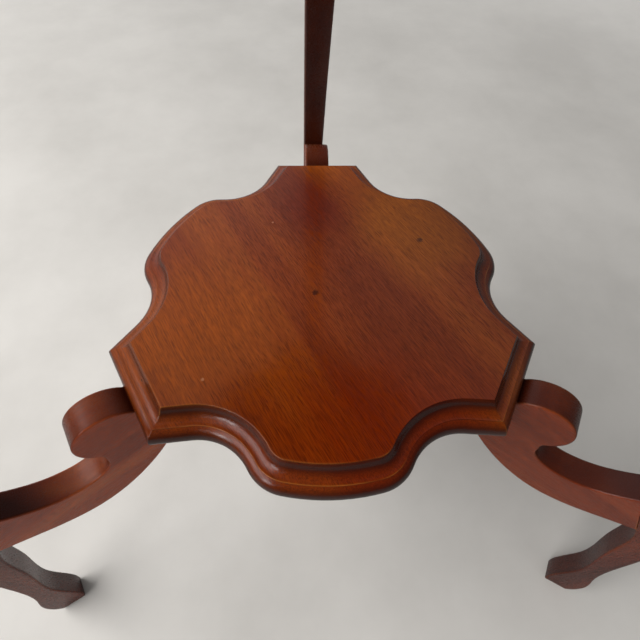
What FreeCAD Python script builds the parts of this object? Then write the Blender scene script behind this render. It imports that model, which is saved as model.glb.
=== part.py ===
import FreeCAD, Part
import math
import os
import Sketcher

# Tiered side table: two lobed, moulded panels on three sawn scroll legs.
# Millimetres, +Z up, floor at z = 0. Reach is the distance from the table's upright axis.

SIZES = {
    # overall
    "table_height": 740.0,
    "shelf_height": 370.0,
    "top_thickness": 21.0,
    "shelf_thickness": 21.0,
    "board_thickness": 22.5,
    "arris_radius": 1.6,
    # outline of the lower shelf: straight ends at the legs, and lobes between flats that lean in a little
    "shelf_end_reach": 157.0,
    "shelf_lobe_reach": 149.5,
    "shelf_lobe_rise": 48.0,
    "shelf_cove_radius": 38.0,
    "shelf_cove_offset": 8.0,
    "shelf_shoulder_radius": 31.0,
    # outline of the top, drawn the same way
    "top_end_reach": 160.0,
    "top_lobe_reach": 152.5,
    "top_lobe_rise": 48.8,
    "top_cove_radius": 38.5,
    "top_cove_offset": 8.2,
    "top_shoulder_radius": 32.0,
    # edge moulding of both panels: an ogee that is briefly round and then widely hollow, a step, then a bead
    "mould_width": 17.0,
    "ogee_drop": 8.8,
    "ogee_turn_width": 2.2,
    "ogee_turn_drop": 3.4,
    "ogee_round_radius": 12.0,
    "ogee_hollow_radius": 8.9,
    "step_width": 0.3,
    "step_drop": 0.4,
    "bead_width": 5.8,
    "bead_widest_drop": 17.4,
    "bead_under": 0.9,
    "cutter_margin": 2.0,
    # scroll brackets: a knuckle outside the shelf end and a seat under it
    "bracket_span": 138.0,
    "seat_depth": 33.0,
    "knuckle_radius": 26.5,
    "knuckle_offset": 21.0,
    "knuckle_drop": 16.5,
    "notch_offset": 36.5,
    "notch_drop": 50.5,
    "valley_offset": 69.0,
    "valley_drop": 72.0,
    "belly_offset": 73.0,
    "belly_drop": 118.5,
    "throat_offset": 8.0,
    "throat_drop": 85.0,
    "limb_end_top_drop": 51.0,
    "limb_end_low_drop": 101.0,
    # legs: widths are measured in the plane of the board, and shares are of the height that is free
    "joint_lean": 23.0,
    "joint_margin": 7.0,
    "sole_set": 32.0,
    "sole_width": 26.0,
    "foot_set": 29.5,
    "foot_width": 32.0,
    "foot_height": 28.0,
    "ankle_set": 31.5,
    "ankle_width": 20.0,
    "ankle_share": 0.33,
    "calf_set": 17.0,
    "calf_width": 21.5,
    "calf_share": 0.705,
    "joint_width": 21.5,
    "knee_width": 24.5,
    "lean_rise": 55.0,
    "lean_back": 23.5,
    "lean_width": 24.0,
    "shank_share": 0.53,
    "shank_set": 54.5,
    "shank_width": 23.0,
    "leg_top_width": 28.0,
    "leg_top_overhang": 13.5,
    "leg_top_flat": 42.0,
    # blocks that hold the top on the legs
    "block_depth": 38.0,
    "block_length": 58.0,
    "block_height": 36.0,
    "block_chamfer": 3.0,
    # dowels
    "dowel_radius": 4.0,
    "dowel_clearance": 0.1,
    "dowel_end_gap": 1.0,
    "limb_dowel_depth": 22.0,
    "limb_dowel_in_leg": 13.0,
    "limb_dowel_low": 9.0,
    "limb_dowel_spacing": 20.0,
    "shelf_dowel_depth": 15.0,
    "panel_dowel_depth": 11.0,
    "shelf_dowel_inset": 26.0,
    "leg_dowel_depth": 14.0,
    # screws
    "screw_radius": 2.0,
    "screw_head_radius": 4.2,
    "screw_head_height": 3.0,
    "screw_bite": 14.0,
    "screw_clearance": 0.15,
    "counterbore_radius": 5.0,
    "shelf_screw_grip": 30.0,
    "shelf_screw_inset": 15.0,
    "block_screw_grip": 26.0,
    "block_screw_drop": 24.0,
    "top_screw_grip": 20.0,
    "top_screw_spacing": 34.0,
    # foot glides and the nails that hold them
    "glide_radius": 9.0,
    "glide_height": 3.0,
    "glide_round": 1.0,
    "nail_radius": 1.2,
    "nail_length": 16.0,
    "nail_head_radius": 3.5,
    "nail_head_height": 1.0,
    "nail_head_recess": 0.8,
    "nail_clearance": 0.1,
}

SIDES = ("back", "left", "right")
FIRST_LEG_ANGLE = 90.0
LEG_ANGLES = {side: FIRST_LEG_ANGLE + turn * 360.0 / len(SIDES) for turn, side in enumerate(SIDES)}
LEG_LABELS = {f"leg_{side}" for side in SIDES}
SECTOR_ANGLE = 60.0
KNUCKLE_END_ANGLE = -50.0
# headings of the bracket's curves, in reach and height, where they meet the leg and the seat
LIMB_TOP_HEADING = (0.75, 0.66)
LIMB_LOW_HEADING = (-0.95, -0.3)
SEAT_HEADING = (-0.15, 1)
UPWARD = (0, 1)
DOWNWARD = (0, -1)
# first shape of the moulding's arcs, as a share of the chord, before their sizes take hold
OGEE_BULGE = 0.1
BEAD_BULGE = 0.2
# how far the flats beside the shelf's ends lean in towards the axis, in degrees
FLAT_LEAN = 5.0
CLOSE = 0.001

doc = FreeCAD.newDocument("tiered_side_table")
up = FreeCAD.Vector(0, 0, 1)

sheet = doc.addObject("Spreadsheet::Sheet", "Sizes")
for row, (alias, number) in enumerate(SIZES.items(), start=1):
    sheet.set(f"A{row}", alias)
    sheet.set(f"B{row}", str(number))
    sheet.setAlias(f"B{row}", alias)
doc.recompute()
size = {alias: sheet.get(alias) for alias in SIZES}

# Heights and reaches that several pieces share, as expressions on the sheet
SEAT_HEIGHT = "(Sizes.shelf_height - Sizes.shelf_thickness)"
TOP_UNDERSIDE = "(Sizes.table_height - Sizes.top_thickness)"
LIMB_REACH = "(Sizes.shelf_end_reach + Sizes.bracket_span)"
LIMB_END = "(Sizes.limb_end_low_drop - Sizes.limb_end_top_drop)"
LEG_TOP_OUTER = "(Sizes.top_end_reach - Sizes.leg_top_overhang)"
LEG_TOP_INNER = f"({LEG_TOP_OUTER} - Sizes.leg_top_width)"
LEG_DOWEL_REACH = f"({LEG_TOP_OUTER} - Sizes.leg_top_width / 2)"
LIMB_DOWEL_RISES = ["Sizes.limb_dowel_low", "(Sizes.limb_dowel_low + Sizes.limb_dowel_spacing)"]
SHELF_DOWEL_REACH = "(Sizes.shelf_end_reach - Sizes.shelf_dowel_inset)"
SHELF_SCREW_REACH = "(Sizes.shelf_end_reach - Sizes.shelf_screw_inset)"
BLOCK_SCREW_HEIGHT = f"({TOP_UNDERSIDE} - Sizes.block_screw_drop)"
TOP_SCREW_REACH = f"({LEG_TOP_INNER} - Sizes.block_depth / 2)"
TOP_SCREW_OFFSETS = ["Sizes.top_screw_spacing / 2", "-Sizes.top_screw_spacing / 2"]
SOLE_REACH = f"({LIMB_REACH} + Sizes.sole_set + Sizes.sole_width / 2)"
HOLE_RADIUS = "(Sizes.screw_radius + Sizes.screw_clearance)"
DOWEL_HOLE_RADIUS = "(Sizes.dowel_radius + Sizes.dowel_clearance)"


def value(text):
    return float(sheet.evalExpression(text))


def flat_point(across, along):
    return FreeCAD.Vector(value(across), value(along), 0)


def limb_dowel(rise):
    # height of a dowel in the leaning joint, and the reaches of its two ends
    height = f"({SEAT_HEIGHT} - Sizes.limb_end_low_drop + {rise})"
    joint = f"{LIMB_REACH} - Sizes.joint_lean * {rise} / {LIMB_END}"
    return height, f"({joint} - Sizes.limb_dowel_depth)", f"({joint} + Sizes.limb_dowel_in_leg)"


def origin_feature(body, role):
    return next(feature for feature in body.Origin.OriginFeatures if feature.Role == role)


def new_sketch(body, name, plane):
    sketch = body.newObject("Sketcher::SketchObject", name)
    sketch.AttachmentSupport = [(origin_feature(body, plane), "")]
    sketch.MapMode = "FlatFace"
    return sketch


def bind(sketch, name, expression, *constraint):
    index = sketch.addConstraint(Sketcher.Constraint(*constraint, value(expression)))
    sketch.renameConstraint(index, name)
    sketch.setExpression(f"Constraints.{name}", expression)


def hold_point(sketch, name, geometry, end, across, along):
    bind(sketch, f"{name}_x", across, "DistanceX", -1, 1, geometry, end)
    bind(sketch, f"{name}_y", along, "DistanceY", -1, 1, geometry, end)


def draw_polygon(sketch, corners):
    points = [flat_point(*corner) for corner in corners]
    first = sketch.GeometryCount
    count = len(points)
    for index in range(count):
        sketch.addGeometry(Part.LineSegment(points[index], points[(index + 1) % count]))
    for index in range(count):
        following = first + (index + 1) % count
        sketch.addConstraint(Sketcher.Constraint("Coincident", first + index, 2, following, 1))
    for index, (across, along) in enumerate(corners):
        hold_point(sketch, f"corner{first + index}", first + index, 1, across, along)


def draw_circle(sketch, name, across, along, radius):
    index = sketch.addGeometry(Part.Circle(flat_point(across, along), up, value(radius)))
    hold_point(sketch, name, index, 3, across, along)
    bind(sketch, f"{name}_radius", radius, "Radius", index)


def draw_axis(sketch, start, end):
    line = sketch.addGeometry(Part.LineSegment(flat_point(*start), flat_point(*end)), True)
    hold_point(sketch, "axis_start", line, 1, *start)
    hold_point(sketch, "axis_end", line, 2, *end)


def add_feature(body, kind, name, **properties):
    feature = body.newObject(f"PartDesign::{kind}", name)
    for key, setting in properties.items():
        setattr(feature, key, setting)
    return feature


def repeat_round_axis(body, name, originals):
    pattern = add_feature(body, "PolarPattern", name, Originals=originals, Angle=360.0)
    pattern.Axis = (origin_feature(body, "Z_Axis"), [""])
    pattern.Occurrences = len(SIDES)
    body.Tip = pattern
    return pattern


def cut_from_underside(body, name, spots, radius, depth):
    sketch = new_sketch(body, f"{name}_sketch", "XY_Plane")
    for leg in range(len(SIDES)):
        turn = f"{leg} * 360 / {len(SIDES)}"
        for index, (reach, offset) in enumerate(spots):
            across = f"{reach} * cos({turn}) - {offset} * sin({turn})"
            along = f"{reach} * sin({turn}) + {offset} * cos({turn})"
            draw_circle(sketch, f"hole{leg}_{index}", across, along, radius)
    pocket = add_feature(body, "Pocket", name, Profile=sketch, Reversed=True)
    pocket.setExpression("Length", depth)
    doc.recompute()


# Panels: one sixth of the outline is drawn, moulded, mirrored and turned round the axis

def arc_between(centre, radius, start, end):
    first = math.atan2(start.y - centre.y, start.x - centre.x)
    last = math.atan2(end.y - centre.y, end.x - centre.x)
    if last < first:
        last += 2 * math.pi
    return Part.ArcOfCircle(Part.Circle(centre, up, radius), first, last)


def draw_sector(sketch, panel):
    end_reach = size[f"{panel}_end_reach"]
    lobe_reach = size[f"{panel}_lobe_reach"]
    flat_reach = lobe_reach - size[f"{panel}_lobe_rise"]
    cove_radius = size[f"{panel}_cove_radius"]
    shoulder_radius = size[f"{panel}_shoulder_radius"]
    turn = math.radians(SECTOR_ANGLE)
    lean = math.radians(FLAT_LEAN)
    outward = FreeCAD.Vector(math.cos(turn), math.sin(turn), 0)
    sideways = FreeCAD.Vector(math.sin(turn), -math.cos(turn), 0)
    # the coves' offset counts from half of the ends' reach, so that flats and lobes both keep their room
    offset = end_reach / 2 + size[f"{panel}_cove_offset"]
    axis = FreeCAD.Vector(0, 0, 0)
    end_middle = FreeCAD.Vector(end_reach, 0, 0)
    # the flat runs along one direction and faces the other
    along = sideways * math.cos(lean) + outward * math.sin(lean)
    facing = outward * math.cos(lean) - sideways * math.sin(lean)
    end_corner = facing * flat_reach + along * ((end_reach - flat_reach * facing.x) / along.x)
    cove_lift = (flat_reach + cove_radius + offset * math.sin(lean)) / math.cos(lean)
    cove_centre = outward * cove_lift + sideways * offset
    cove_start = cove_centre - facing * cove_radius
    # the shoulder's centre closes a triangle with the axis and the cove's centre
    near = lobe_reach - shoulder_radius
    across = cove_radius + shoulder_radius
    far = cove_centre.Length
    opening = math.acos((near ** 2 + far ** 2 - across ** 2) / (2 * near * far))
    bearing = math.atan2(cove_centre.y, cove_centre.x) + opening
    shoulder_centre = FreeCAD.Vector(near * math.cos(bearing), near * math.sin(bearing), 0)
    cove_end = cove_centre + (shoulder_centre - cove_centre) * (cove_radius / across)
    lobe_start = shoulder_centre * (lobe_reach / near)
    lobe_middle = outward * lobe_reach
    inner_side = sketch.addGeometry(Part.LineSegment(axis, end_middle))
    end = sketch.addGeometry(Part.LineSegment(end_middle, end_corner))
    flat = sketch.addGeometry(Part.LineSegment(end_corner, cove_start))
    cove = sketch.addGeometry(arc_between(cove_centre, cove_radius, cove_end, cove_start))
    shoulder = sketch.addGeometry(
        arc_between(shoulder_centre, shoulder_radius, cove_end, lobe_start))
    lobe = sketch.addGeometry(arc_between(axis, lobe_reach, lobe_start, lobe_middle))
    lobe_side = sketch.addGeometry(Part.LineSegment(axis, lobe_middle))
    for constraint in (
        ("Coincident", inner_side, 1, -1, 1),
        ("Coincident", inner_side, 2, end, 1),
        ("Coincident", end, 2, flat, 1),
        ("Tangent", flat, 2, cove, 2),
        ("Tangent", cove, 1, shoulder, 1),
        ("Tangent", shoulder, 2, lobe, 1),
        ("Coincident", lobe, 2, lobe_side, 2),
        ("Coincident", lobe_side, 1, -1, 1),
        ("Coincident", lobe, 3, -1, 1),
        ("Horizontal", inner_side),
        ("Vertical", end),
        ("Angle", flat, turn + lean + math.pi / 2),
        ("Angle", lobe_side, turn),
    ):
        sketch.addConstraint(Sketcher.Constraint(*constraint))
    bind(sketch, "end_reach", f"Sizes.{panel}_end_reach", "DistanceX", -1, 1, inner_side, 2)
    flat_text = f"Sizes.{panel}_lobe_reach - Sizes.{panel}_lobe_rise"
    bind(sketch, "flat_reach", flat_text, "Distance", -1, 1, flat)
    bind(sketch, "cove_radius", f"Sizes.{panel}_cove_radius", "Radius", cove)
    offset_text = f"Sizes.{panel}_end_reach / 2 + Sizes.{panel}_cove_offset"
    bind(sketch, "cove_offset", offset_text, "Distance", cove, 3, lobe_side)
    bind(sketch, "shoulder_radius", f"Sizes.{panel}_shoulder_radius", "Radius", shoulder)
    bind(sketch, "lobe_reach", f"Sizes.{panel}_lobe_reach", "Radius", lobe)
    return [f"Edge{index + 1}" for index in (end, flat, cove, shoulder, lobe)]


def draw_moulding(sketch, panel):
    edge = f"Sizes.{panel}_end_reach"
    thickness = f"Sizes.{panel}_thickness"
    step_inset = "(Sizes.bead_width + Sizes.step_width)"
    step_low = "(Sizes.ogee_drop + Sizes.step_drop)"
    profile = {
        "arris": (f"{edge} - Sizes.mould_width", thickness),
        "ogee": (f"{edge} - Sizes.mould_width + Sizes.ogee_turn_width",
                 f"{thickness} - Sizes.ogee_turn_drop"),
        "valley": (f"{edge} - {step_inset}", f"{thickness} - Sizes.ogee_drop"),
        "step": (f"{edge} - {step_inset}", f"{thickness} - {step_low}"),
        "bead_top": (f"{edge} - Sizes.bead_width", f"{thickness} - {step_low}"),
        "bead": (edge, f"{thickness} - Sizes.bead_widest_drop"),
        "bead_low": (f"{edge} - Sizes.bead_under", "0"),
        "under": (f"{edge} - Sizes.bead_under", "-Sizes.cutter_margin"),
        "out_low": (f"{edge} + Sizes.cutter_margin", "-Sizes.cutter_margin"),
        "out_high": (f"{edge} + Sizes.cutter_margin", f"{thickness} + Sizes.cutter_margin"),
        "over": (f"{edge} - Sizes.mould_width", f"{thickness} + Sizes.cutter_margin"),
    }
    names = list(profile)
    points = {name: flat_point(*corner) for name, corner in profile.items()}
    # arcs by the corner that each starts from
    bulges = {"arris": OGEE_BULGE, "ogee": -OGEE_BULGE, "bead_top": BEAD_BULGE, "bead": BEAD_BULGE}
    starts = {}
    for index, name in enumerate(names):
        start = points[name]
        end = points[names[(index + 1) % len(names)]]
        if name in bulges:
            chord = end - start
            outward = FreeCAD.Vector(-chord.y, chord.x, 0) * bulges[name]
            arc = Part.Arc(start, start + chord * 0.5 + outward, end).toShape().Curve
            ends = (end, start) if bulges[name] > 0 else (start, end)
            geometry = sketch.addGeometry(arc_between(arc.Center, arc.Radius, *ends))
            starts[name] = (geometry, 2 if bulges[name] > 0 else 1)
        else:
            starts[name] = (sketch.addGeometry(Part.LineSegment(start, end)), 1)
    for index, name in enumerate(names):
        geometry, start = starts[name]
        following, following_start = starts[names[(index + 1) % len(names)]]
        end = 1 if start == 2 else 2
        sketch.addConstraint(
            Sketcher.Constraint("Coincident", geometry, end, following, following_start))
    for name, (x, y) in profile.items():
        geometry, start = starts[name]
        hold_point(sketch, name, geometry, start, x, y)
    bind(sketch, "round_radius", "Sizes.ogee_round_radius", "Radius", starts["arris"][0])
    bind(sketch, "hollow_radius", "Sizes.ogee_hollow_radius", "Radius", starts["ogee"][0])
    # both bead arcs have their centres level with the bead's widest point
    widest, widest_end = starts["bead"]
    for name in ("bead_top", "bead"):
        sketch.addConstraint(
            Sketcher.Constraint("Horizontal", starts[name][0], 3, widest, widest_end))


def make_panel(label, panel, base_height, dowel_reach, screw_spots):
    body = doc.addObject("PartDesign::Body", label)
    sector = new_sketch(body, f"{panel}_sector", "XY_Plane")
    outer_edges = draw_sector(sector, panel)
    pad = add_feature(body, "Pad", f"{panel}_board", Profile=sector)
    pad.setExpression("Length", f"Sizes.{panel}_thickness")
    profile = new_sketch(body, f"{panel}_profile", "XZ_Plane")
    draw_moulding(profile, panel)
    doc.recompute()
    moulding = add_feature(body, "SubtractivePipe", f"{panel}_moulding", Profile=profile)
    moulding.Spine = (sector, outer_edges)
    moulding.Transition = "Right corner"
    doc.recompute()
    whole = add_feature(body, "MultiTransform", f"{panel}_whole", Originals=[pad, moulding])
    mirror = add_feature(body, "Mirrored", f"{panel}_mirror")
    mirror.MirrorPlane = (origin_feature(body, "XZ_Plane"), [""])
    turns = add_feature(body, "PolarPattern", f"{panel}_turns", Angle=360.0)
    turns.Axis = (origin_feature(body, "Z_Axis"), [""])
    turns.Occurrences = len(SIDES)
    whole.Transformations = [mirror, turns]
    body.Tip = whole
    doc.recompute()
    cut_from_underside(body, f"{panel}_dowel_holes", [(dowel_reach, "0")], DOWEL_HOLE_RADIUS,
                       "Sizes.panel_dowel_depth + Sizes.dowel_end_gap")
    cut_from_underside(body, f"{panel}_screw_holes", screw_spots, HOLE_RADIUS,
                       "Sizes.screw_bite + Sizes.dowel_end_gap")
    return body, value(base_height)


# Sawn boards: outlines of lines, arcs and smooth curves in the plane of reach and height

def at(reach, height):
    return FreeCAD.Vector(reach, 0, height)


def smooth_edge(points, directions):
    curve = Part.BSplineCurve()
    heading = [FreeCAD.Vector(0, 0, 0) if way is None else at(*way) for way in directions]
    held = [way is not None for way in directions]
    curve.interpolate(Points=points, Tangents=heading, TangentFlags=held)
    return curve.toShape()


def straight_edge(start, end):
    return Part.LineSegment(start, end).toShape()


def saw_board(edges, square_edges):
    half = size["board_thickness"] / 2
    face = Part.Face(Part.Wire(Part.__sortEdges__(edges)))
    board = face.extrude(FreeCAD.Vector(0, 2 * half, 0))
    board.translate(FreeCAD.Vector(0, -half, 0))
    # every long arris is eased, and the ends that meet other pieces stay square
    eased = []
    for edge in board.Edges:
        middle = edge.valueAt((edge.FirstParameter + edge.LastParameter) / 2)
        on_side = abs(abs(edge.BoundBox.Center.y) - half) < CLOSE
        flat = Part.Vertex(at(middle.x, middle.z))
        square = any(flat.distToShape(end)[0] < CLOSE for end in square_edges)
        if on_side and edge.BoundBox.YLength < CLOSE and not square:
            eased.append(edge)
    return board.makeFillet(size["arris_radius"], eased)


def drill(board, centre, way, radius, depth):
    return board.cut(Part.makeCylinder(radius, depth, centre, way))


def drill_limb_dowels(board):
    gap = size["dowel_end_gap"]
    for rise in LIMB_DOWEL_RISES:
        height, near, far = (value(text) for text in limb_dowel(rise))
        length = far - near + 2 * gap
        board = drill(board, at(near - gap, height), at(1, 0), value(DOWEL_HOLE_RADIUS), length)
    return board


def make_bracket_shape():
    end_reach = size["shelf_end_reach"]
    seat = value(SEAT_HEIGHT)
    limb_reach = value(LIMB_REACH)
    radius = size["knuckle_radius"]
    knuckle = at(end_reach + size["knuckle_offset"], seat - size["knuckle_drop"])
    knuckle_run = math.sqrt(radius ** 2 - size["knuckle_drop"] ** 2)
    seat_inner = at(end_reach - size["seat_depth"], seat)
    seat_outer = at(knuckle.x - knuckle_run, seat)
    knuckle_top = knuckle + at(0, radius)
    turn = math.radians(KNUCKLE_END_ANGLE)
    knuckle_end = knuckle + at(radius * math.cos(turn), radius * math.sin(turn))
    notch = at(end_reach + size["notch_offset"], seat - size["notch_drop"])
    valley = at(end_reach + size["valley_offset"], seat - size["valley_drop"])
    limb_top = at(limb_reach - size["joint_lean"], seat - size["limb_end_top_drop"])
    limb_low = at(limb_reach, seat - size["limb_end_low_drop"])
    belly = at(end_reach + size["belly_offset"], seat - size["belly_drop"])
    throat = at(end_reach + size["throat_offset"], seat - size["throat_drop"])
    seat_edge = straight_edge(seat_inner, seat_outer)
    limb_edge = straight_edge(limb_top, limb_low)
    edges = [
        seat_edge,
        Part.Arc(seat_outer, knuckle_top, knuckle_end).toShape(),
        smooth_edge([knuckle_end, notch, valley, limb_top],
                    [(math.sin(turn), -math.cos(turn)), DOWNWARD, (1, 0), LIMB_TOP_HEADING]),
        limb_edge,
        smooth_edge([limb_low, belly, throat, seat_inner],
                    [LIMB_LOW_HEADING, (-1, 0), None, SEAT_HEADING]),
    ]
    board = drill_limb_dowels(saw_board(edges, [seat_edge, limb_edge]))
    hole_radius = value(DOWEL_HOLE_RADIUS)
    gap = size["dowel_end_gap"]
    board = drill(board, at(value(SHELF_DOWEL_REACH), seat), at(0, -1), hole_radius,
                  size["shelf_dowel_depth"] + gap)
    screw = at(value(SHELF_SCREW_REACH), seat)
    board = drill(board, screw, at(0, -1), value(HOLE_RADIUS), size["shelf_screw_grip"])
    # the counterbore runs from under the screw's head out through the back of the throat
    head = screw - at(0, size["shelf_screw_grip"])
    return drill(board, head, at(0, -1), size["counterbore_radius"], size["belly_drop"])


def make_leg_shape():
    limb_reach = value(LIMB_REACH)
    seat = value(SEAT_HEIGHT)
    sole_height = size["glide_height"]
    top = value(TOP_UNDERSIDE)
    limb_low = at(limb_reach, seat - size["limb_end_low_drop"])
    limb_top = at(limb_reach - size["joint_lean"], seat - size["limb_end_top_drop"])
    joint_way = (limb_top - limb_low).normalize()
    joint_low = limb_low - joint_way * size["joint_margin"]
    joint_high = limb_top + joint_way * size["joint_margin"]
    rising = (joint_way.x, joint_way.z)
    falling = (-joint_way.x, -joint_way.z)
    sole_inner = at(limb_reach + size["sole_set"], sole_height)
    foot_inner = at(limb_reach + size["foot_set"], size["foot_height"])
    ankle_inner = at(limb_reach + size["ankle_set"], joint_low.z * size["ankle_share"])
    calf_inner = at(limb_reach + size["calf_set"], joint_low.z * size["calf_share"])
    lean_inner = joint_high + at(-size["lean_back"], size["lean_rise"])
    top_inner = at(value(LEG_TOP_INNER), top)
    flat_low = top_inner - at(0, size["leg_top_flat"])
    shank_rise = (flat_low.z - joint_high.z) * size["shank_share"]
    shank_inner = at(top_inner.x + size["shank_set"], joint_high.z + shank_rise)
    lean_way = (lean_inner - joint_high).normalize()
    lean_out = FreeCAD.Vector(lean_way.z, 0, -lean_way.x)
    shank_way = (flat_low - lean_inner).normalize()
    shank_out = FreeCAD.Vector(shank_way.z, 0, -shank_way.x)
    sole_outer = sole_inner + at(size["sole_width"], 0)
    foot_outer = foot_inner + at(size["foot_width"], 0)
    ankle_outer = ankle_inner + at(size["ankle_width"], 0)
    calf_outer = calf_inner + at(size["calf_width"], 0)
    joint_outer = joint_low + at(size["joint_width"], 0)
    knee_outer = joint_high + at(size["knee_width"], 0)
    lean_outer = lean_inner + lean_out * size["lean_width"]
    shank_outer = shank_inner + shank_out * size["shank_width"]
    top_outer = at(value(LEG_TOP_OUTER), top)
    sole_edge = straight_edge(sole_inner, sole_outer)
    top_edge = straight_edge(top_inner, top_outer)
    edges = [
        sole_edge,
        smooth_edge([sole_inner, foot_inner, ankle_inner, calf_inner, joint_low],
                    [None, UPWARD, UPWARD, None, rising]),
        straight_edge(joint_low, joint_high),
        smooth_edge([joint_high, lean_inner, shank_inner, flat_low],
                    [rising, (lean_way.x, lean_way.z), None, UPWARD]),
        straight_edge(flat_low, top_inner),
        top_edge,
        smooth_edge([top_outer, shank_outer, lean_outer, knee_outer, joint_outer, calf_outer,
                     ankle_outer, foot_outer, sole_outer],
                    [DOWNWARD, None, (-lean_way.x, -lean_way.z), None, falling, None,
                     None, DOWNWARD, None]),
    ]
    board = drill_limb_dowels(saw_board(edges, [sole_edge, top_edge]))
    hole_radius = value(DOWEL_HOLE_RADIUS)
    gap = size["dowel_end_gap"]
    board = drill(board, at(value(LEG_DOWEL_REACH), top), at(0, -1), hole_radius,
                  size["leg_dowel_depth"] + gap)
    board = drill(board, at(top_inner.x, value(BLOCK_SCREW_HEIGHT)), at(1, 0), value(HOLE_RADIUS),
                  size["screw_bite"] + gap)
    nail_depth = size["nail_length"] - sole_height + size["nail_head_recess"] + gap
    return drill(board, at(value(SOLE_REACH), sole_height), at(0, 1),
                 size["nail_radius"] + size["nail_clearance"], nail_depth)


def make_board(label, shape):
    board = doc.addObject("Part::Feature", label)
    board.Shape = shape
    return board


# Turned pieces: a half section spun about its own line, then repeated at each leg

def add_turned(body, name, section, axis_start, axis_end):
    sketch = new_sketch(body, f"{name}_section", "XZ_Plane")
    draw_polygon(sketch, section)
    draw_axis(sketch, axis_start, axis_end)
    spun = add_feature(body, "Revolution", name, Profile=sketch, Angle=360.0)
    spun.ReferenceAxis = (sketch, ["Axis0"])
    doc.recompute()
    return spun


def upright_section(reach, low, high, radius):
    return [(reach, low), (f"{reach} + {radius}", low), (f"{reach} + {radius}", high), (reach, high)]


def level_section(height, near, far, radius):
    return [(near, height), (near, f"{height} + {radius}"), (far, f"{height} + {radius}"), (far, height)]


def upright_screw_section(reach, head_top, length):
    head_low = f"{head_top} - Sizes.screw_head_height"
    shank = f"{reach} + Sizes.screw_radius"
    head = f"{reach} + Sizes.screw_head_radius"
    return [(reach, head_low), (head, head_low), (head, head_top), (shank, head_top),
            (shank, f"{head_top} + {length}"), (reach, f"{head_top} + {length}")]


def make_dowels(label, sections):
    body = doc.addObject("PartDesign::Body", label)
    spun = [add_turned(body, f"{label}_{index}", section, section[0], section[-1])
            for index, section in enumerate(sections)]
    repeat_round_axis(body, f"{label}_set", spun)
    return body


def make_shelf_screws():
    body = doc.addObject("PartDesign::Body", "shelf_screws")
    head_top = f"{SEAT_HEIGHT} - Sizes.shelf_screw_grip"
    length = "Sizes.shelf_screw_grip + Sizes.screw_bite"
    section = upright_screw_section(SHELF_SCREW_REACH, head_top, length)
    spun = add_turned(body, "shelf_screw", section, section[0], section[-1])
    repeat_round_axis(body, "shelf_screw_set", [spun])
    return body


def make_block_screws():
    body = doc.addObject("PartDesign::Body", "block_screws")
    head = f"{LEG_TOP_INNER} - Sizes.block_screw_grip"
    head_end = f"{head} - Sizes.screw_head_height"
    tip = f"{LEG_TOP_INNER} + Sizes.screw_bite"
    shank = f"{BLOCK_SCREW_HEIGHT} + Sizes.screw_radius"
    rim = f"{BLOCK_SCREW_HEIGHT} + Sizes.screw_head_radius"
    section = [(head_end, BLOCK_SCREW_HEIGHT), (head_end, rim), (head, rim), (head, shank), (tip, shank),
               (tip, BLOCK_SCREW_HEIGHT)]
    spun = add_turned(body, "block_screw", section, section[0], section[-1])
    repeat_round_axis(body, "block_screw_set", [spun])
    return body


def make_top_screws():
    body = doc.addObject("PartDesign::Body", "top_screws")
    lengths = (("shank", "Sizes.screw_radius", f"{TOP_UNDERSIDE} - Sizes.top_screw_grip",
                "Sizes.top_screw_grip + Sizes.screw_bite"),
               ("head", "Sizes.screw_head_radius",
                f"{TOP_UNDERSIDE} - Sizes.top_screw_grip - Sizes.screw_head_height",
                "Sizes.screw_head_height"))
    pads = []
    for name, radius, base, length in lengths:
        sketch = new_sketch(body, f"top_screw_{name}_sketch", "XY_Plane")
        sketch.setExpression("AttachmentOffset.Base.z", base)
        for side, offset in enumerate(TOP_SCREW_OFFSETS):
            draw_circle(sketch, f"side{side}", TOP_SCREW_REACH, offset, radius)
        pad = add_feature(body, "Pad", f"top_screw_{name}", Profile=sketch)
        pad.setExpression("Length", length)
        doc.recompute()
        pads.append(pad)
    repeat_round_axis(body, "top_screw_set", pads)
    return body


def make_glide_nails():
    body = doc.addObject("PartDesign::Body", "glide_nails")
    low = "Sizes.nail_head_recess"
    high = "(Sizes.nail_head_recess + Sizes.nail_head_height)"
    rim = f"{SOLE_REACH} + Sizes.nail_head_radius"
    shank = f"{SOLE_REACH} + Sizes.nail_radius"
    tip = "Sizes.nail_head_recess + Sizes.nail_length"
    section = [(SOLE_REACH, low), (rim, low), (rim, high), (shank, high), (shank, tip), (SOLE_REACH, tip)]
    spun = add_turned(body, "glide_nail", section, section[0], section[-1])
    repeat_round_axis(body, "glide_nail_set", [spun])
    return body


def make_glide(label):
    body = doc.addObject("PartDesign::Body", label)
    rim = f"{SOLE_REACH} + Sizes.glide_radius"
    recess = f"{SOLE_REACH} + Sizes.nail_head_radius + Sizes.nail_clearance"
    bore = f"{SOLE_REACH} + Sizes.nail_radius + Sizes.nail_clearance"
    recess_top = "Sizes.nail_head_recess + Sizes.nail_head_height"
    section = [(recess, "0"), (f"{rim} - Sizes.glide_round", "0"), (rim, "Sizes.glide_round"),
               (rim, "Sizes.glide_height"), (bore, "Sizes.glide_height"), (bore, recess_top),
               (recess, recess_top)]
    add_turned(body, f"{label}_disc", section, (SOLE_REACH, "0"), (SOLE_REACH, "Sizes.glide_height"))
    return body


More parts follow.
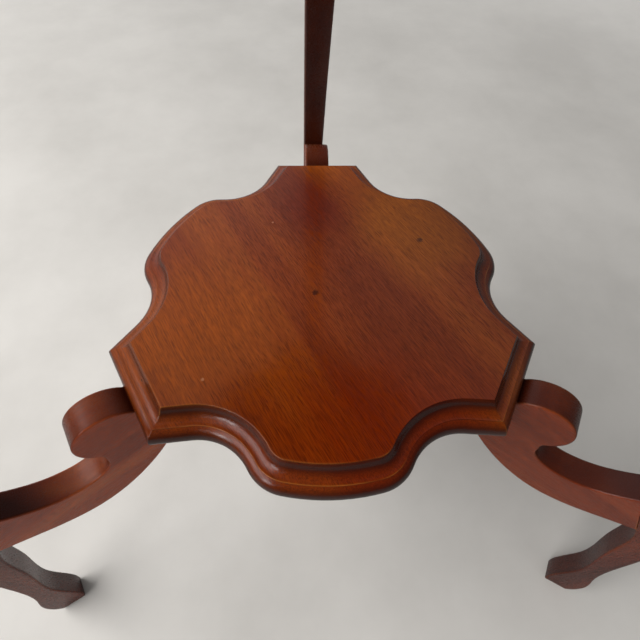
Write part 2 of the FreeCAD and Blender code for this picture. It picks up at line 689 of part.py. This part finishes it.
def make_block(label):
    body = doc.addObject("PartDesign::Body", label)
    base = f"{TOP_UNDERSIDE} - Sizes.block_height"
    near = f"{LEG_TOP_INNER} - Sizes.block_depth"
    outline = new_sketch(body, f"{label}_outline", "XY_Plane")
    outline.setExpression("AttachmentOffset.Base.z", base)
    half = "Sizes.block_length / 2"
    draw_polygon(outline, [(near, f"-{half}"), (LEG_TOP_INNER, f"-{half}"), (LEG_TOP_INNER, half),
                           (near, half)])
    pad = add_feature(body, "Pad", f"{label}_blank", Profile=outline)
    pad.setExpression("Length", "Sizes.block_height")
    doc.recompute()
    inner_face = next(f"Face{index}" for index, face in enumerate(pad.Shape.Faces, start=1)
                      if face.CenterOfMass.x < value(near) + CLOSE)
    chamfer = add_feature(body, "Chamfer", f"{label}_chamfer", Base=(pad, [inner_face]))
    chamfer.setExpression("Size", "Sizes.block_chamfer")
    doc.recompute()
    # upright screw holes with counterbores from below
    for name, radius, depth in (
            ("hole", HOLE_RADIUS, "Sizes.block_height"),
            ("counterbore", "Sizes.counterbore_radius", "Sizes.block_height - Sizes.top_screw_grip")):
        sketch = new_sketch(body, f"{label}_{name}_sketch", "XY_Plane")
        sketch.setExpression("AttachmentOffset.Base.z", base)
        for side, offset in enumerate(TOP_SCREW_OFFSETS):
            draw_circle(sketch, f"side{side}", TOP_SCREW_REACH, offset, radius)
        pocket = add_feature(body, "Pocket", f"{label}_{name}", Profile=sketch, Reversed=True)
        pocket.setExpression("Length", depth)
        doc.recompute()
    # one level hole with its counterbore, for the screw into the leg
    head = f"{LEG_TOP_INNER} - Sizes.block_screw_grip"
    for name, radius, near_end, far_end in (
            ("leg_hole", HOLE_RADIUS, near, LEG_TOP_INNER),
            ("leg_counterbore", "Sizes.counterbore_radius", near, head)):
        sketch = new_sketch(body, f"{label}_{name}_section", "XZ_Plane")
        section = level_section(BLOCK_SCREW_HEIGHT, near_end, far_end, radius)
        draw_polygon(sketch, section)
        draw_axis(sketch, section[0], section[-1])
        groove = add_feature(body, "Groove", f"{label}_{name}", Profile=sketch, Angle=360.0)
        groove.ReferenceAxis = (sketch, ["Axis0"])
        doc.recompute()
    return body


# The whole table, each piece with its turn about the axis and its lift
placed = []


def stand(piece, angle=LEG_ANGLES["back"], lift=0.0):
    placed.append((piece, angle, lift))


top_spots = [(TOP_SCREW_REACH, offset) for offset in TOP_SCREW_OFFSETS]
shelf_spots = [(SHELF_SCREW_REACH, "0")]
top_panel, top_lift = make_panel("top_panel", "top", TOP_UNDERSIDE, LEG_DOWEL_REACH, top_spots)
shelf_panel, shelf_lift = make_panel("shelf_panel", "shelf", SEAT_HEIGHT, SHELF_DOWEL_REACH, shelf_spots)
stand(top_panel, lift=top_lift)
stand(shelf_panel, lift=shelf_lift)

leg_shape = make_leg_shape()
bracket_shape = make_bracket_shape()
for side in SIDES:
    angle = LEG_ANGLES[side]
    stand(make_board(f"leg_{side}", leg_shape), angle)
    stand(make_board(f"bracket_{side}", bracket_shape), angle)
    stand(make_block(f"top_block_{side}"), angle)
    stand(make_glide(f"foot_glide_{side}"), angle)

stand(make_dowels("bracket_dowels", [
    level_section(*limb_dowel(rise), "Sizes.dowel_radius") for rise in LIMB_DOWEL_RISES]))
stand(make_dowels("shelf_dowels", [
    upright_section(SHELF_DOWEL_REACH, f"{SEAT_HEIGHT} - Sizes.shelf_dowel_depth",
                    f"{SEAT_HEIGHT} + Sizes.panel_dowel_depth", "Sizes.dowel_radius")]))
stand(make_dowels("leg_dowels", [
    upright_section(LEG_DOWEL_REACH, f"{TOP_UNDERSIDE} - Sizes.leg_dowel_depth",
                    f"{TOP_UNDERSIDE} + Sizes.panel_dowel_depth", "Sizes.dowel_radius")]))
stand(make_shelf_screws())
stand(make_block_screws())
stand(make_top_screws())
stand(make_glide_nails())
doc.recompute()

# The origin is under the middle of the table's outer box, so the axis stands a little to the front
for piece, angle, lift in placed:
    piece.Placement = FreeCAD.Placement(FreeCAD.Vector(0, 0, lift), FreeCAD.Rotation(up, angle))
legs = [piece.Shape for piece, angle, lift in placed if piece.Label in LEG_LABELS]
leg_box = Part.makeCompound(legs).optimalBoundingBox()
front = min(leg_box.YMin, -size["top_lobe_reach"])
for piece, angle, lift in placed:
    piece.Placement.Base = FreeCAD.Vector(0, -(leg_box.YMax + front) / 2, lift)
doc.recompute()

for item in doc.Objects:
    if "Invalid" in item.State or "Error" in item.State:
        raise RuntimeError(f"{item.Label} failed: {item.State}")
for piece, angle, lift in placed:
    if piece.Shape.isNull() or not piece.Shape.isValid():
        raise RuntimeError(f"{piece.Label} has no valid shape")

os.makedirs("parts", exist_ok=True)
for piece, angle, lift in placed:
    piece.Shape.exportStep(f"parts/{piece.Label}.step")
    print(piece.Label, len(piece.Shape.Solids), "solids", round(piece.Shape.Volume / 1000, 2), "cm3")
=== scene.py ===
import math

import bpy
from mathutils import Matrix, Vector

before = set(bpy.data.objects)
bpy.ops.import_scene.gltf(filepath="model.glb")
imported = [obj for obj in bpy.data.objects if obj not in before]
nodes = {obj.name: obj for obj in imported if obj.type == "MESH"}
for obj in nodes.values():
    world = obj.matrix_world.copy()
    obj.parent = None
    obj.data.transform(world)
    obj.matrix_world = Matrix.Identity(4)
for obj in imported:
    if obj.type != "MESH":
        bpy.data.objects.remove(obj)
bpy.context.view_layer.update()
print("loaded", len(nodes), "solids' nodes")

shelfMiddle = Vector((0.0, -0.08455, 0.370))  # where the table's upright axis meets the shelf's face
legAngles = {"back": 90.0, "left": 210.0, "right": 330.0}


def tone(text):  # a written colour such as 7a3c1e, as linear light
    parts = [int(text[place:place + 2], 16) / 255 for place in (0, 2, 4)]
    light = [part / 12.92 if part < 0.04045 else ((part + 0.055) / 1.055) ** 2.4 for part in parts]
    return (*light, 1.0)


class Wire:  # one socket of a material, so that sums on it read as sums
    def __init__(self, tree, socket=None):
        self.tree = tree
        self.socket = socket

    def add(self, kind, settings=None, values=None, out=0):
        node = self.tree.nodes.new(kind)
        for key, setting in (settings or {}).items():
            if key == "stops":
                self.setStops(node.color_ramp.elements, setting)
            else:
                setattr(node, key, setting)
        for key, given in (values or {}).items():
            if isinstance(given, Wire):
                self.tree.links.new(given.socket, node.inputs[key])
            else:
                node.inputs[key].default_value = given
        return Wire(self.tree, node.outputs[out] if node.outputs else None)

    def setStops(self, elements, stops):
        for index, (place, colour) in enumerate(stops):
            stop = elements[index] if index < len(elements) else elements.new(place)
            stop.position = place
            stop.color = colour

    def sum(self, operation, first, second):
        return self.add("ShaderNodeMath", {"operation": operation}, {0: first, 1: second})

    def __add__(self, other):
        return self.sum("ADD", self, other)

    def __radd__(self, other):
        return self.sum("ADD", other, self)

    def __sub__(self, other):
        return self.sum("SUBTRACT", self, other)

    def __rsub__(self, other):
        return self.sum("SUBTRACT", other, self)

    def __mul__(self, other):
        return self.sum("MULTIPLY", self, other)

    def __rmul__(self, other):
        return self.sum("MULTIPLY", other, self)

    def __pow__(self, other):
        return self.sum("POWER", self, other)

    def __abs__(self):
        return self.add("ShaderNodeMath", {"operation": "ABSOLUTE"}, {0: self})

    def span(self, low, high):  # 0 at low, 1 at high, smooth between
        return self.add("ShaderNodeMapRange", {"interpolation_type": "SMOOTHSTEP"},
                        {"Value": self, "From Min": low, "From Max": high})

    def part(self, axisName):  # one part of a vector
        return self.add("ShaderNodeSeparateXYZ", None, {"Vector": self}, axisName)

    def stretch(self, factors):  # a vector, each part times its factor
        return self.add("ShaderNodeVectorMath", {"operation": "MULTIPLY"}, {0: self, 1: factors})

    def dot(self, direction):
        return self.add("ShaderNodeVectorMath", {"operation": "DOT_PRODUCT"},
                        {0: self, 1: tuple(direction)}, "Value")

    def awayFrom(self, spot):  # how far a place is from a spot
        return self.add("ShaderNodeVectorMath", {"operation": "DISTANCE"}, {0: self, 1: spot}, "Value")

    def noise(self, scale=1.0, detail=2.0, roughness=0.5):
        return self.add("ShaderNodeTexNoise", {"noise_dimensions": "3D"},
                        {"Vector": self, "Scale": scale, "Detail": detail, "Roughness": roughness})

    def ramp(self, stops):
        return self.add("ShaderNodeValToRGB", {"stops": stops}, {"Fac": self})

    def blend(self, share, other, mode="MIX"):  # this colour, with a share of another
        return self.add("ShaderNodeMix", {"data_type": "RGBA", "blend_type": mode},
                        {"Factor": share, 6: self, 7: other}, out=2)


def newMaterial(name):
    material = bpy.data.materials.new(name)
    material.use_nodes = True
    tree = material.node_tree
    tree.nodes.clear()
    return material, Wire(tree)


def closeMaterial(wire, values):  # shader and output
    shader = wire.add("ShaderNodeBsdfPrincipled", None, values)
    wire.add("ShaderNodeOutputMaterial", None, {"Surface": shader})


# lacquered wood, cut so that its grain runs along one direction
panelLook = {
    "pale": "8f440d", "middle": "772f07", "deep": "5f1c03", "pore": "260802", "hollowShade": "1c0704",
    "wearAndHighlight": "b8702c", "endGrainAndShade": "240a05", "paintedBrightness": 1.0, "gloss": 0.12, "lacquerIndex": 1.45,
    "steepShade": 0.80, "edgeShade": 0.0, "bandWidth": 0.070, "bandLength": 0.90,
    "ribbonWidth": 0.009, "ribbonLength": 0.25, "fibreWidth": 0.0009, "fibreLength": 0.040,
    "poreWidth": 0.00040, "poreLength": 0.0090,
}
legLook = dict(
    panelLook, pale="6c2e15", middle="58210f", deep="421508", pore="200904", hollowShade="1a0704",
    wearAndHighlight="a05a28", endGrainAndShade="30100a", gloss=0.23, lacquerIndex=1.36, steepShade=0.0, edgeShade=0.55,
    bandWidth=0.035, bandLength=0.60)
# the brackets take a paler copy of the legs' stain: painted light on their lit sides
litBracketLook = dict(
    legLook, pale="8c451f", middle="783115", deep="5c200c", pore="280c05", wearAndHighlight="a8622c")
blockLook = dict(
    legLook, pale="8a5636", middle="7a4629", deep="6a3a22", endGrainAndShade="5a2e1a", gloss=0.55)

woodFinish = {
    "swayScale": 6.0, "swayDetail": 1.0, "swayReach": 0.012,  # how the grain wanders
    "cloudScale": 13.0, "cloudDetail": 3.0, "cloudRoughness": 0.6,  # uneven stain and polish
    "bandFine": (2.0, 0.5), "ribbonFine": (3.0, 0.55), "fibreFine": (3.0, 0.65), "poreFine": (1.0, 0.5),
    "bandShare": 0.80, "deepAt": 0.34, "middleAt": 0.50, "paleAt": 0.66,
    "patchCore": 0.2, "patchWander": 0.06, "fibreLow": 0.48, "fibreGain": 1.04,
    "endShare": 0.90, "endSharpness": 2.0, "boardFace": (0.2, 0.7), "steepFace": (0.02, 0.7),
    "poreSpan": (0.46, 0.64), "poreLow": 0.45, "poreCloud": 0.9, "poreShare": 0.50,
    "hollowReach": 0.009, "hollowSpan": (0.15, 0.60), "hollowLow": 0.45, "hollowCloud": 0.8,
    "hollowShadeShare": 0.75, "arrisReach": 0.0013, "arrisSpan": (0.04, 0.30), "arrisCloud": (0.40, 0.60),
    "wearAndHighlightShare": 0.55, "cloudGloss": 0.10, "poreGloss": 0.10, "hollowGloss": 0.12,
    "markScale": 900.0, "markDetail": 2.0, "markCore": 0.35, "softEdge": 0.0008,
    "edgeSamples": 6, "hollowSamples": 8, "fibreRise": 0.30, "poreDip": 0.7,
    "rippleScale": 240.0, "rippleDetail": 1.0, "rippleRise": 0.5,
    "bumpStrength": 0.20, "bumpHeight": 0.0002,
}
noiseMiddle = 0.5  # noise runs from 0 to 1


def lacqueredWood(name, look, turns, shift, lightAndShadePatches=(), marks=()):
    finish = woodFinish
    material, wire = newMaterial(name)
    place = wire.add("ShaderNodeTexCoord", out="Object")
    # x runs along the grain once the place is turned
    grain = place.add("ShaderNodeMapping", {"vector_type": "TEXTURE"},
                      {"Vector": place, "Location": shift, "Rotation": turns})
    turning = Matrix.Identity(3)
    for axisName, angle in zip("XYZ", turns):
        turning = Matrix.Rotation(angle, 3, axisName) @ turning
    along = turning @ Vector((1, 0, 0))
    across = turning @ Vector((0, 1, 0))  # square to the face of a sawn board
    normal = wire.add("ShaderNodeNewGeometry", out="Normal")
    sway = place.noise(finish["swayScale"], finish["swayDetail"])
    sideSway = sway.add("ShaderNodeCombineXYZ", None, {"Y": sway, "Z": sway})
    swayed = grain.add("ShaderNodeVectorMath", {"operation": "MULTIPLY_ADD"},
                       {0: sideSway, 1: (finish["swayReach"],) * 3, 2: grain})

    def figure(kind):  # noise drawn out along the grain
        width = look[kind + "Width"]
        length = look[kind + "Length"]
        detail, roughness = finish[kind + "Fine"]
        drawn = swayed.stretch((1 / length, 1 / width, 1 / width))
        return drawn.noise(detail=detail, roughness=roughness)

    bands = figure("band")
    ribbons = figure("ribbon")
    fibres = figure("fibre")
    clouds = place.noise(finish["cloudScale"], finish["cloudDetail"], finish["cloudRoughness"])
    pores = figure("pore").span(*finish["poreSpan"]) * (finish["poreLow"] + clouds * finish["poreCloud"])
    # broad figure first, then patches of painted light and shade, then the fibres
    stain = bands * finish["bandShare"] + ribbons * (1 - finish["bandShare"])
    colour = stain.ramp([(finish[key + "At"], tone(look[key])) for key in ("deep", "middle", "pale")])
    for lightAndShadePatch in lightAndShadePatches:
        ragged = place.awayFrom(lightAndShadePatch["spot"]) + (clouds - noiseMiddle) * finish["patchWander"]
        mask = 1 - ragged.span(lightAndShadePatch["reach"] * finish["patchCore"], lightAndShadePatch["reach"])
        colour = colour.blend(mask * lightAndShadePatch["share"], tone(lightAndShadePatch["colour"]))
    # a board's painted brightness stands for the light and shade on it
    lightness = (finish["fibreLow"] + fibres * finish["fibreGain"]) * look["paintedBrightness"]
    shade = lightness.add("ShaderNodeCombineColor", None,
                          {"Red": lightness, "Green": lightness, "Blue": lightness})
    colour = colour.blend(1.0, shade, "MULTIPLY")
    # end grain drinks more stain; sawn edges and steep mouldings are darkened towards the same tone as
    # painted shade
    ends = abs(normal.dot(along)) ** finish["endSharpness"]
    colour = colour.blend(ends * finish["endShare"], tone(look["endGrainAndShade"]))
    sawn = 1 - abs(normal.dot(across)).span(*finish["boardFace"])
    colour = colour.blend(sawn * look["edgeShade"], tone(look["endGrainAndShade"]))
    steep = (1 - normal.part("Z")).span(*finish["steepFace"])
    colour = colour.blend(steep * look["steepShade"], tone(look["endGrainAndShade"]))
    colour = colour.blend(pores * finish["poreShare"], tone(look["pore"]))
    # painted shade darkens the hollows of the mouldings, and arrises are paler with rubbed wear and a
    # painted highlight
    openness = wire.add("ShaderNodeAmbientOcclusion",
                        {"samples": finish["hollowSamples"], "only_local": True},
                        {"Distance": finish["hollowReach"]}, "AO")
    uneven = finish["hollowLow"] + clouds * finish["hollowCloud"]
    hollow = (1 - openness).span(*finish["hollowSpan"]) * uneven
    colour = colour.blend(hollow * finish["hollowShadeShare"], tone(look["hollowShade"]))
    # the paler arris tone is rubbed wear together with a painted highlight
    depth = wire.add("ShaderNodeAmbientOcclusion",
                     {"samples": finish["hollowSamples"], "only_local": True, "inside": True},
                     {"Distance": finish["arrisReach"]}, "AO")
    wearAndHighlight = (1 - depth).span(*finish["arrisSpan"]) * clouds.span(*finish["arrisCloud"])
    colour = colour.blend(wearAndHighlight * finish["wearAndHighlightShare"], tone(look["wearAndHighlight"]))
    roughness = (look["gloss"] + (clouds - noiseMiddle) * finish["cloudGloss"]
                 + pores * finish["poreGloss"] + hollow * finish["hollowGloss"])
    for mark in marks:  # small dents and dark knots
        wander = place.noise(finish["markScale"], finish["markDetail"]) - noiseMiddle
        ragged = place.awayFrom(mark["spot"]) + wander * mark["size"]
        mask = 1 - ragged.span(mark["size"] * finish["markCore"], mark["size"])
        colour = colour.blend(mask * mark["depth"], tone(mark["colour"]))
    softEdge = wire.add("ShaderNodeBevel", {"samples": finish["edgeSamples"]},
                        {"Radius": finish["softEdge"]})
    ripple = place.noise(finish["rippleScale"], finish["rippleDetail"])
    height = fibres * finish["fibreRise"] - pores * finish["poreDip"] + ripple * finish["rippleRise"]
    bumped = height.add("ShaderNodeBump", None,
                        {"Strength": finish["bumpStrength"], "Distance": finish["bumpHeight"],
                         "Height": height, "Normal": softEdge})
    closeMaterial(wire, {"Base Color": colour, "Roughness": roughness, "Normal": bumped,
                         "IOR": look["lacquerIndex"]})
    return material


def dress(node, material):
    piece = nodes[node]
    piece.data.materials.clear()
    piece.data.materials.append(material)


# places on the shelf are measured from its middle; its patches paint light and shade, paler on the left and
# back right, darker in front and at the back middle where the top's shade and dark reflections fall
shelfLightAndShade = [
    {"spot": (-0.100, -0.040, 0.0), "reach": 0.085, "share": 0.60, "colour": "95480b"},
    {"spot": (0.080, 0.070, 0.0), "reach": 0.080, "share": 0.60, "colour": "8c4c0d"},
    {"spot": (0.030, -0.120, 0.0), "reach": 0.095, "share": 0.70, "colour": "6a1c02"},
    {"spot": (-0.008, 0.085, 0.0), "reach": 0.060, "share": 0.75, "colour": "5c1603"},
]
shelfMarks = [
    {"spot": (-0.0068, -0.0053, 0.0), "size": 0.0034, "depth": 0.75, "colour": "210c07"},
    {"spot": (0.0800, 0.0470, 0.0), "size": 0.0032, "depth": 0.70, "colour": "210c07"},
    {"spot": (-0.0400, 0.0678, 0.0), "size": 0.0012, "depth": 0.60, "colour": "a86a48"},
    {"spot": (-0.0830, -0.0753, 0.0), "size": 0.0016, "depth": 0.55, "colour": "b07a50"},
]
for change in shelfLightAndShade + shelfMarks:
    change["spot"] = tuple(shelfMiddle + Vector(change["spot"]))
panelCuts = {  # which way each panel's grain runs, and where in the figure it was cut
    "shelf": {"grainAngle": 120.0, "shift": (0.0, 0.0, 0.37),
              "lightAndShadePatches": shelfLightAndShade, "marks": shelfMarks},
    "top": {"grainAngle": 90.0, "shift": (0.35, 0.2, 1.4), "lightAndShadePatches": (), "marks": ()},
}
for panel, cut in panelCuts.items():
    turns = (0.0, 0.0, math.radians(cut["grainAngle"]))
    wood = lacqueredWood(f"{panel}Lacquer", panelLook, turns, cut["shift"], cut["lightAndShadePatches"], cut["marks"])
    dress(f"{panel}_panel", wood)

boardCuts = {  # the grain runs up a leg, out along a bracket's limb and across a block
    "leg": {"finish": "legLacquer", "look": legLook,
            "dip": -90.0, "swing": 0.0, "shift": (0.010, 0.1)},
    "bracket": {"finish": "bracketLacquer", "look": litBracketLook,
                "dip": 18.0, "swing": 0.0, "shift": (0.013, 0.3)},
    "top_block": {"finish": "blockStain", "look": blockLook,
                  "dip": 0.0, "swing": 90.0, "shift": (0.017, 0.5)},
}
boardLightLevels = {  # painted light and shade: each board is made lighter or darker by how much light falls on it
    "back": {"leg": 0.75, "bracket": 0.85, "top_block": 1.0},
    "left": {"leg": 1.10, "bracket": 1.65, "top_block": 1.0},
    "right": {"leg": 1.20, "bracket": 1.15, "top_block": 1.0},
}
for side, angle in legAngles.items():
    for board, cut in boardCuts.items():
        look = dict(cut["look"], paintedBrightness=boardLightLevels[side][board])
        turns = (0.0, math.radians(cut["dip"]), math.radians(angle + cut["swing"]))
        slide, aside = cut["shift"]  # each side's board is cut further along
        wood = lacqueredWood(f"{cut['finish']}.{side}", look, turns, (angle * slide, aside, 0.0))
        dress(f"{board}_{side}", wood)
print("wood finished")

# beech of the dowels, plated screws, bright nails and moulded glides
fittingLooks = {
    "dowelBeech": {"dark": "b98f63", "darkAt": 0.35, "pale": "d8b48a", "paleAt": 0.65,
                   "fleckScale": 420.0, "fleckDetail": 3.0, "fleckRoughness": 0.5,
                   "gloss": 0.55, "fleckGloss": 0.15, "metal": 0.0, "bump": 0.0},
    "screwPlating": {"dark": "8f8a7c", "darkAt": 0.35, "pale": "b9b4a4", "paleAt": 0.60,
                     "fleckScale": 350.0, "fleckDetail": 4.0, "fleckRoughness": 0.65,
                     "gloss": 0.28, "fleckGloss": 0.20, "metal": 1.0, "bump": 0.15},
    "glidePlastic": {"dark": "2b1e17", "darkAt": 0.40, "pale": "4a382d", "paleAt": 0.75,
                     "fleckScale": 600.0, "fleckDetail": 4.0, "fleckRoughness": 0.7,
                     "gloss": 0.50, "fleckGloss": 0.20, "metal": 0.0, "bump": 0.20},
}
fittingLooks["nailSteel"] = dict(fittingLooks["screwPlating"], dark="85858a", pale="b4b4b4", gloss=0.30)
fleckHeight = 0.0001
fittingPieces = {
    "dowelBeech": ("bracket_dowels", "shelf_dowels", "leg_dowels"),
    "screwPlating": ("shelf_screws", "block_screws", "top_screws"),
    "nailSteel": ("glide_nails",),
    "glidePlastic": tuple(f"foot_glide_{side}" for side in legAngles),
}


def fleckedFinish(name, look):
    material, wire = newMaterial(name)
    place = wire.add("ShaderNodeTexCoord", out="Object")
    flecks = place.noise(look["fleckScale"], look["fleckDetail"], look["fleckRoughness"])
    values = {
        "Base Color": flecks.ramp([(look[key + "At"], tone(look[key])) for key in ("dark", "pale")]),
        "Roughness": look["gloss"] + flecks * look["fleckGloss"],
        "Metallic": look["metal"],
    }
    if look["bump"]:  # beech stays smooth
        values["Normal"] = flecks.add("ShaderNodeBump", None,
                                      {"Strength": look["bump"], "Distance": fleckHeight, "Height": flecks})
    closeMaterial(wire, values)
    return material


for finishName, pieces in fittingPieces.items():
    fleckedMaterial = fleckedFinish(finishName, fittingLooks[finishName])
    for node in pieces:
        dress(node, fleckedMaterial)
print("fittings finished")

# floor, light and camera
floorLook = {"size": 14.0, "grey": "ccc8c2", "greyAt": 0.35, "pale": "d9d5cf", "paleAt": 0.65,
             "cloudScale": 3.5, "cloudDetail": 5.0, "cloudRoughness": 0.6, "gloss": 0.75,
             "mirrored": "9c9894", "far": "c4c2bf", "farSpan": (0.8, 3.2)}
unlit = (0.0, 0.0, 0.0, 1.0)


def layFloor():
    bpy.ops.object.select_all(action="DESELECT")
    bpy.ops.mesh.primitive_plane_add(size=floorLook["size"], location=(0.0, 0.0, 0.0))
    floor = bpy.context.object
    floor.name = "floor"
    material, wire = newMaterial("floorPale")
    place = wire.add("ShaderNodeTexCoord", out="Object")
    clouds = place.noise(floorLook["cloudScale"], floorLook["cloudDetail"], floorLook["cloudRoughness"])
    colour = clouds.ramp([(floorLook[key + "At"], tone(floorLook[key])) for key in ("grey", "pale")])
    # in reflections the floor is shown darker: painted shade standing for the shadow that falls on it
    mirrorRay = wire.add("ShaderNodeLightPath", out="Is Glossy Ray")
    colour = colour.blend(mirrorRay, tone(floorLook["mirrored"]))
    # far from the lamps the floor is shown as pale as it is near the table
    far = place.awayFrom((0.0, 0.0, 0.0)).span(*floorLook["farSpan"])
    seen = far * wire.add("ShaderNodeLightPath", out="Is Camera Ray")
    glow = seen.add("ShaderNodeMix", {"data_type": "RGBA"},
                    {"Factor": seen, 6: unlit, 7: tone(floorLook["far"])}, out=2)
    closeMaterial(wire, {"Base Color": colour, "Roughness": floorLook["gloss"], "Emission Color": glow,
                         "Emission Strength": 1.0})
    floor.data.materials.append(material)


layFloor()

lampAim = Vector((0.0, -0.08, 0.35))
lampSet = (  # the lacquer mirrors only the lamp that says so
    {"name": "keyLight", "place": (-1.75, -0.20, 2.35), "size": 2.2, "power": 88.0, "mirrored": False},
    {"name": "lowLight", "place": (-1.25, -1.45, 1.15), "size": 0.5, "power": 7.0, "mirrored": True},
    {"name": "sideFill", "place": (1.3, -2.0, 0.9), "size": 1.6, "power": 4.0, "mirrored": False},
)
for lamp in lampSet:
    light = bpy.data.lights.new(lamp["name"], "AREA")
    light.size = lamp["size"]
    light.energy = lamp["power"]
    holder = bpy.data.objects.new(lamp["name"], light)
    holder.location = lamp["place"]
    holder.rotation_euler = (lampAim - Vector(lamp["place"])).to_track_quat("-Z", "Y").to_euler()
    holder.visible_glossy = lamp["mirrored"]
    bpy.context.scene.collection.objects.link(holder)

skyLook = {"colour": "f4f5f6", "strength": 0.24, "seen": 0.85}
# what the lacquer mirrors: dark in front, pale behind with a dim corner low on the right,
# and a bright pane on the left
mirrorLook = {"front": 0.05, "back": 0.75, "backSpan": (-0.4, 0.6),
              "highSpan": (0.64, 0.86), "highLoss": 0.60,
              "cornerSpan": (-0.08, 0.06), "cornerHeight": (0.66, 0.78), "cornerLoss": 0.70,
              "pane": 3.2, "paneWay": (-0.75, -0.25, 0.60), "paneSpan": (0.90, 0.97)}


def hangSky():
    world = bpy.data.worlds.new("studio")
    bpy.context.scene.world = world
    world.use_nodes = True
    world.node_tree.nodes.clear()
    sky = Wire(world.node_tree)
    cameraRay = sky.add("ShaderNodeLightPath", out="Is Camera Ray")
    mirrorRay = sky.add("ShaderNodeLightPath", out="Is Glossy Ray")
    towards = sky.add("ShaderNodeTexCoord", out="Generated")
    upward = towards.part("Z")
    low = 1 - upward.span(*mirrorLook["cornerHeight"])
    corner = towards.part("X").span(*mirrorLook["cornerSpan"]) * low
    back = (towards.part("Y").span(*mirrorLook["backSpan"])
            * (1 - upward.span(*mirrorLook["highSpan"]) * mirrorLook["highLoss"])
            * (1 - corner * mirrorLook["cornerLoss"]))
    pane = towards.dot(Vector(mirrorLook["paneWay"]).normalized()).span(*mirrorLook["paneSpan"])
    mirrored = mirrorLook["front"] + back * mirrorLook["back"] + pane * mirrorLook["pane"]
    strength = (skyLook["strength"] + cameraRay * (skyLook["seen"] - skyLook["strength"])
                + mirrorRay * (mirrored - skyLook["strength"]))
    glow = sky.add("ShaderNodeBackground", None, {"Color": tone(skyLook["colour"]), "Strength": strength})
    sky.add("ShaderNodeOutputWorld", None, {"Surface": glow})


hangSky()

cameraSet = {"place": (-0.0176, -0.29695, 0.6466), "turnRight": 4.204, "tiltDown": 56.513, "roll": 2.682,
             "lens": 26.02, "sensor": 36.0, "nearest": 0.01}


def setCamera():
    turnRight = math.radians(cameraSet["turnRight"])
    tiltDown = math.radians(cameraSet["tiltDown"])
    roll = math.radians(cameraSet["roll"])
    level = Vector((math.sin(turnRight), math.cos(turnRight), 0.0))
    ahead = level * math.cos(tiltDown) - Vector((0.0, 0.0, math.sin(tiltDown)))
    right = Vector((math.cos(turnRight), -math.sin(turnRight), 0.0))
    over = right.cross(ahead)
    rightRolled = right * math.cos(roll) + over * math.sin(roll)
    overRolled = over * math.cos(roll) - right * math.sin(roll)
    turned = Matrix((rightRolled, overRolled, -ahead)).transposed().to_4x4()
    camera = bpy.data.cameras.new("photoView")
    camera.sensor_width = cameraSet["sensor"]
    camera.lens = cameraSet["lens"]
    camera.clip_start = cameraSet["nearest"]
    holder = bpy.data.objects.new("photoView", camera)
    bpy.context.scene.collection.objects.link(holder)
    holder.matrix_world = Matrix.Translation(cameraSet["place"]) @ turned
    bpy.context.scene.camera = holder


setCamera()
bpy.context.scene.view_settings.view_transform = "Standard"
print("stage and camera set")
